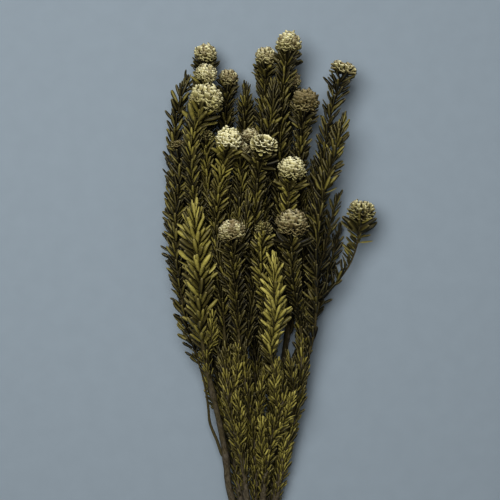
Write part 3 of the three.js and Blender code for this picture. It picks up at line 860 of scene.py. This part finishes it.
def bract_tree():
    """Bracts in a golden spiral over a globe one unit in radius, from its crown down to its foot."""
    tree, given = new_tree(
        "bracts", Count=90, Crown=0.1, Foot=2.0, Heart=0.7, Lap=0.5, Tall=0.9, Width=0.3, Loose=0.15,
        Seed=0, Shapes="NodeSocketCollection", Kinds=3, Tone=0.5, Green=0.0, Bract="NodeSocketMaterial",
        **{"Greener foot and painted shade": 0.7},
    )

    def chance(low, high, salt, kind="FLOAT"):
        seed = plus(tree, times(tree, given["Seed"], 17.0), float(salt))
        return add(tree, "FunctionNodeRandomValue", {"Min": low, "Max": high, "Seed": seed}, data_type=kind)

    index = add(tree, "GeometryNodeInputIndex")
    share = calc(tree, "DIVIDE", plus(tree, index, 0.5), given["Count"])
    crown, foot = calc(tree, "COSINE", given["Crown"]), calc(tree, "COSINE", given["Foot"])
    height = add(tree, "ShaderNodeMix", {"Factor": share, "A": crown, "B": foot}, data_type="FLOAT")
    down = plus(tree, calc(tree, "ARCCOSINE", height), chance(-0.07, 0.07, 1))
    turn = plus(tree, times(tree, index, GOLDEN_TURN), chance(-0.15, 0.15, 2))
    out = calc(tree, "SINE", down)
    x, y = calc(tree, "COSINE", turn), calc(tree, "SINE", turn)
    height = times(tree, calc(tree, "COSINE", down), given["Tall"])
    tip = vector(tree, times(tree, out, x), times(tree, out, y), height)
    # the claw sits further down, on a smaller globe inside
    below = plus(tree, down, given["Lap"])
    inner = times(tree, calc(tree, "SINE", below), given["Heart"])
    depth = times(tree, calc(tree, "COSINE", below), given["Heart"])
    height = times(tree, depth, given["Tall"])
    claw = vector(tree, times(tree, inner, x), times(tree, inner, y), height)
    blade = add(tree, "ShaderNodeVectorMath", {0: tip, 1: claw}, operation="SUBTRACT")
    size = add(tree, "ShaderNodeVectorMath", {0: blade}, operation="LENGTH").outputs["Value"]
    size = times(tree, size, chance(0.92, 1.14, 3))
    inward = vector(tree, times(tree, x, -1.0), times(tree, y, -1.0), 1.0)
    ahead = add(tree, "FunctionNodeAlignRotationToVector", {"Vector": blade}, axis="Z")
    facing = add(tree, "FunctionNodeAlignRotationToVector", {"Rotation": ahead, "Vector": inward},
                 axis="Y", pivot_axis="Z")
    for axis, salt in (((1, 0, 0), 4), ((0, 0, 1), 5)):
        angle = chance(times(tree, given["Loose"], -1.0), given["Loose"], salt)
        loose = add(tree, "FunctionNodeAxisAngleToRotation", {"Axis": axis, "Angle": angle})
        facing = add(tree, "FunctionNodeRotateRotation", {"Rotation": facing, "Rotate By": loose},
                     rotation_space="LOCAL")
    width = times(tree, given["Width"], chance(0.8, 1.2, 6))
    points = add(tree, "GeometryNodePoints", {"Count": given["Count"], "Position": claw})
    shapes = add(tree, "GeometryNodeCollectionInfo", {
        "Collection": given["Shapes"], "Separate Children": True, "Reset Children": True,
    })
    bracts = add(tree, "GeometryNodeInstanceOnPoints", {
        "Points": points, "Instance": shapes, "Pick Instance": True,
        "Instance Index": chance(0, calc(tree, "SUBTRACT", given["Kinds"], 1.0), 7, "INT"),
        "Rotation": facing, "Scale": vector(tree, width, width, size),
    })
    shade = plus(tree, given["Tone"], chance(-0.3, 0.3, 8))
    # greener and darker towards the foot: partly the cone's own green, partly painted shade with the crown
    # lighter as if lit from above
    foot_green_and_shade = plus(tree, given["Green"], times(tree, share, given["Greener foot and painted shade"]))
    for key, value in (("shade", shade), ("green", foot_green_and_shade)):
        bracts = store(tree, bracts, key, value, "INSTANCE")
    end_tree(tree, bracts, given["Bract"])
    return tree


BRACT = bract_material()
BRACTS = bract_tree()
BRACT_SHAPES = shape_set("bract shapes", [
    bract_shape("bract_curled", 0.45, 0.05, 1.0, 0.40),
    bract_shape("bract_ruffled", 0.25, 0.09, 1.05, 0.45),
    bract_shape("bract_upright", 0.0, 0.05, 0.95, 0.5),
    bract_shape("bract_narrow", 0.7, 0.04, 0.65, 0.35),
])

# the kinds of cone, and how single cones differ from them; the others are plain globes
# Greener foot and painted shade: how much greener and darker the lower bracts are, partly their own colour
# and partly painted shade
GLOBE = {"Count": 118, "Crown": 0.06, "Foot": 2.3, "Heart": 0.86, "Lap": 0.70, "Tall": 0.90, "Width": 0.53,
         "Loose": 0.17, "Tone": 0.55, "Green": -0.20, "Greener foot and painted shade": 1.35}
ROSETTE = {**GLOBE, "Count": 52, "Crown": 0.55, "Foot": 1.95, "Heart": 0.50, "Lap": 0.75, "Tall": 0.75,
           "Width": 0.50, "Loose": 0.14, "Tone": 0.5}
YOUNG = {**GLOBE, "Count": 60, "Crown": 0.2, "Foot": 2.0, "Heart": 0.5, "Tall": 0.95, "Width": 0.30,
         "Loose": 0.2, "Tone": 0.5, "Green": 0.85}
TOP_SHAPED = {**GLOBE, "Count": 96, "Crown": 0.45, "Foot": 2.4, "Heart": 0.6, "Tall": 0.85, "Width": 0.36,
              "Tone": 0.62, "Green": 0.15}
CONES = {
    "a2": {**ROSETTE, "Green": 0.6, "Tone": 0.3},
    "b1": {**GLOBE, "Tone": 1.0, "Greener foot and painted shade": 0.5},
    "b2": {**GLOBE, "Count": 150, "Width": 0.46, "Green": 0.0, "Tone": 0.7},
    "b3": YOUNG,
    "c2": {**GLOBE, "Tone": 0.65},
    "c3": {**GLOBE, "Tone": 0.4},
    "d1": {**GLOBE, "Tone": 0.35},
    "d3": {**ROSETTE, "Tone": 0.75},
    "e3": {**GLOBE, "Tone": 0.4},
    "e5": {**GLOBE, "Tone": 0.35},
    "f2": YOUNG,
    "g1": {**GLOBE, "Tone": 0.15, "Green": 0.2},
    "g2": ROSETTE,
    "g3": {**GLOBE, "Tone": 0.75, "Green": -0.1},
    "h1": TOP_SHAPED,
    "h2": {**GLOBE, "Tone": 0.25, "Green": 0.1},
}

for shoot, node in cones.items():
    rings = rings_of(node)
    twig_end = shoot_rings[shoot][-1][0]
    low, high = sorted((rings[0][0], rings[-1][0]), key=lambda pole: (pole - twig_end).length)
    axis = (high - low).normalized()
    radius = cone_radius(node)
    piece = grow(
        f"{node}_bracts", BRACTS, bpy.data.meshes.new(node), Shapes=BRACT_SHAPES,
        Kinds=len(BRACT_SHAPES.objects), Seed=sum(map(ord, node)), Bract=BRACT,
        **CONES.get(node[5:], GLOBE),
    )
    stand = Vector((0, 0, 1)).rotation_difference(axis).to_matrix().to_4x4()
    piece.data.transform(Matrix.Translation((low + high) / 2) @ stand @ Matrix.Scale(radius, 4))
    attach(piece, "root")
    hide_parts(node)


# ---- The rubber band -------------------------------------------------------------------------------------
# An ordinary tan rubber band, wound three times round the stems above their cut ends. The turns lie side by
# side, and the strand that leads back to the first turn crosses over the others.

BAND_TURNS = 3
BAND_STEPS = 90  # along one turn
BAND_THICK = 0.0011
BAND_START = 2.7  # the angle at which the first turn begins
STRAND_SHARE = 0.94  # a strand's width, as a share of the room that one turn has
STRAND_SIDES = 8
CROSSING = 0.16  # of the last turn, spent on the way back to the first
CROSSING_LIFT = 0.95  # how high it rides over the others, as a share of their thickness


def outside_of_band():
    """The CAD band's outer outline as distances from its middle by angle, its middle and its width."""
    solid = frame["nodes"]["rubber_band"].data
    corners = [vert.co.copy() for vert in solid.vertices]
    low, high = min(c.y for c in corners), max(c.y for c in corners)
    middle = Vector(((min(c.x for c in corners) + max(c.x for c in corners)) / 2, (low + high) / 2,
                     (min(c.z for c in corners) + max(c.z for c in corners)) / 2))
    sections = [(c.x - middle.x, c.z - middle.z) for c in corners]
    walls = [
        (sections[edge.vertices[0]], sections[edge.vertices[1]]) for edge in solid.edges
        if abs(corners[edge.vertices[0]].y - corners[edge.vertices[1]].y) < 1e-5
    ]

    def reach(angle):  # of the convex outline, in the direction of the angle
        best = 0
        for (px, pz), (qx, qz) in walls:
            cross = math.cos(angle) * (qz - pz) - math.sin(angle) * (qx - px)
            if abs(cross) > 1e-9:
                away = (px * (qz - pz) - pz * (qx - px)) / cross
                x, z = math.cos(angle) * away, math.sin(angle) * away
                share = (x - px) * (qx - px) + (z - pz) * (qz - pz)
                size = (qx - px) ** 2 + (qz - pz) ** 2
                if away > 0 and -1e-9 <= share <= size * (1 + 1e-6):
                    best = max(best, away)
        return best

    return reach, middle, high - low


def rubber_material():
    material, tree, shader = new_material("rubber", 0.5, 0.4)
    place = add(tree, "ShaderNodeTexCoord").outputs["Object"]
    dust = noise(tree, place, 700.0, 4.0)
    wide = noise(tree, place, 90.0, 2.0)
    tan = ramp(tree, wide, (0.35, (0.40, 0.24, 0.11)), (0.65, (0.56, 0.37, 0.19)))
    color = mix(tree, fade(tree, dust, 0.5, 0.8, 0.0, 0.5), tan, (0.62, 0.50, 0.34))
    cover(tree, shader, color, dust, 0.3, 0.0002)
    return material


reach, band_middle, band_width = outside_of_band()
strand = band_width / BAND_TURNS * STRAND_SHARE
loops = bmesh.new()
rings = []
for n in range(BAND_TURNS * BAND_STEPS):
    turn = n / BAND_STEPS
    angle = turn * math.tau + BAND_START
    back = max(0, (turn - (BAND_TURNS - CROSSING)) / CROSSING)
    shift = min(turn, BAND_TURNS - CROSSING) / (BAND_TURNS - CROSSING) * (1 - back * back * (3 - 2 * back))
    away = reach(angle) - BAND_THICK / 2 + BAND_THICK * CROSSING_LIFT * math.sin(math.pi * back) ** 0.5
    out = Vector((math.cos(angle), 0, math.sin(angle)))
    place = band_middle + out * away + Vector((0, (shift - 0.5) * (band_width - strand), 0))
    ring = []
    for corner in range(STRAND_SIDES):
        way = corner / STRAND_SIDES * math.tau + math.tau / 16
        across, up = (math.copysign(abs(value) ** 0.6, value) for value in (math.cos(way), math.sin(way)))
        flat = Vector((0, across * strand / 2, 0))
        ring.append(loops.verts.new(place + flat + out * (up * BAND_THICK / 2)))
    rings.append(ring)
for low, high in zip(rings, rings[1:] + rings[:1]):
    for n in range(STRAND_SIDES):
        loops.faces.new((low[n - 1], low[n], high[n], high[n - 1])).smooth = True
bmesh.ops.recalc_face_normals(loops, faces=loops.faces)
band_mesh = bpy.data.meshes.new("rubber_band_loops")
loops.to_mesh(band_mesh)
loops.free()
band_mesh.materials.append(rubber_material())
band = put("rubber_band_loops", band_mesh)
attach(band, "root")
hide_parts("rubber_band")


# ---- The table, the light and the camera -----------------------------------------------------------------
# A plain pale blue-grey table top. One big soft lamp hangs to the upper left, a weak one to the lower right,
# and a faint even light comes from all round. The camera looks straight down.

TABLE = (0.205, 0.242, 0.273)
VIEW_HEIGHT = 0.475  # what the camera sees at the height of the bunch
BELOW_VIEW = 0.105  # the foot of the bunch, which the camera doesn't see
AIM_LEFT = 0.019  # the camera's middle is this far left of the box's, as one cone stands out to the right
AIM_HEIGHT = 0.045  # over the table
LENS = 85
SENSOR = 36
LAMPS = (  # name, place from the middle of the view, size, power
    ("key_lamp", Vector((-0.30, 0.40, 1.60)), 1.05, 38), ("fill_lamp", Vector((0.9, -0.4, 1.5)), 1.6, 2),
)
table_mesh = bpy.data.meshes.new("table")
table_mesh.from_pydata([(-3, -3, 0), (3, -3, 0), (3, 3, 0), (-3, 3, 0)], [], [(0, 1, 2, 3)])
table = put("table", table_mesh)
material, tree, shader = new_material("table_top", 0.9, 0.15)
place = add(tree, "ShaderNodeTexCoord").outputs["Object"]
paper = noise(tree, place, 60.0)
color = mix(tree, fade(tree, paper, 0.3, 0.7), TABLE, tuple(c * 0.97 for c in TABLE))
tree.links.new(color, shader.inputs["Base Color"])
table_mesh.materials.append(material)

middle = Vector((
    (cad_box[0][0] + cad_box[1][0]) / 2 - AIM_LEFT, cad_box[0][1] + BELOW_VIEW + VIEW_HEIGHT / 2, AIM_HEIGHT,
))
for name, place, size, power in LAMPS:
    lamp = bpy.data.lights.new(name, "AREA")
    lamp.energy = power
    lamp.size = size
    stand = put(name, lamp)
    stand.location = middle + place
    stand.rotation_euler = (-place).to_track_quat("-Z", "Y").to_euler()
world = bpy.data.worlds.new("studio")
world.use_nodes = True
world.node_tree.nodes["Background"].inputs["Color"].default_value = (1.0, 0.98, 0.95, 1)
world.node_tree.nodes["Background"].inputs["Strength"].default_value = 0.06
bpy.context.scene.world = world

eye = bpy.data.cameras.new("camera")
eye.lens = LENS
eye.sensor_width = SENSOR
camera = put("camera", eye)
camera.location = middle + Vector((0, 0, VIEW_HEIGHT * LENS / SENSOR))
bpy.context.scene.camera = camera
bpy.context.scene.view_settings.view_transform = "Standard"
bpy.context.scene.view_settings.look = "Medium High Contrast"
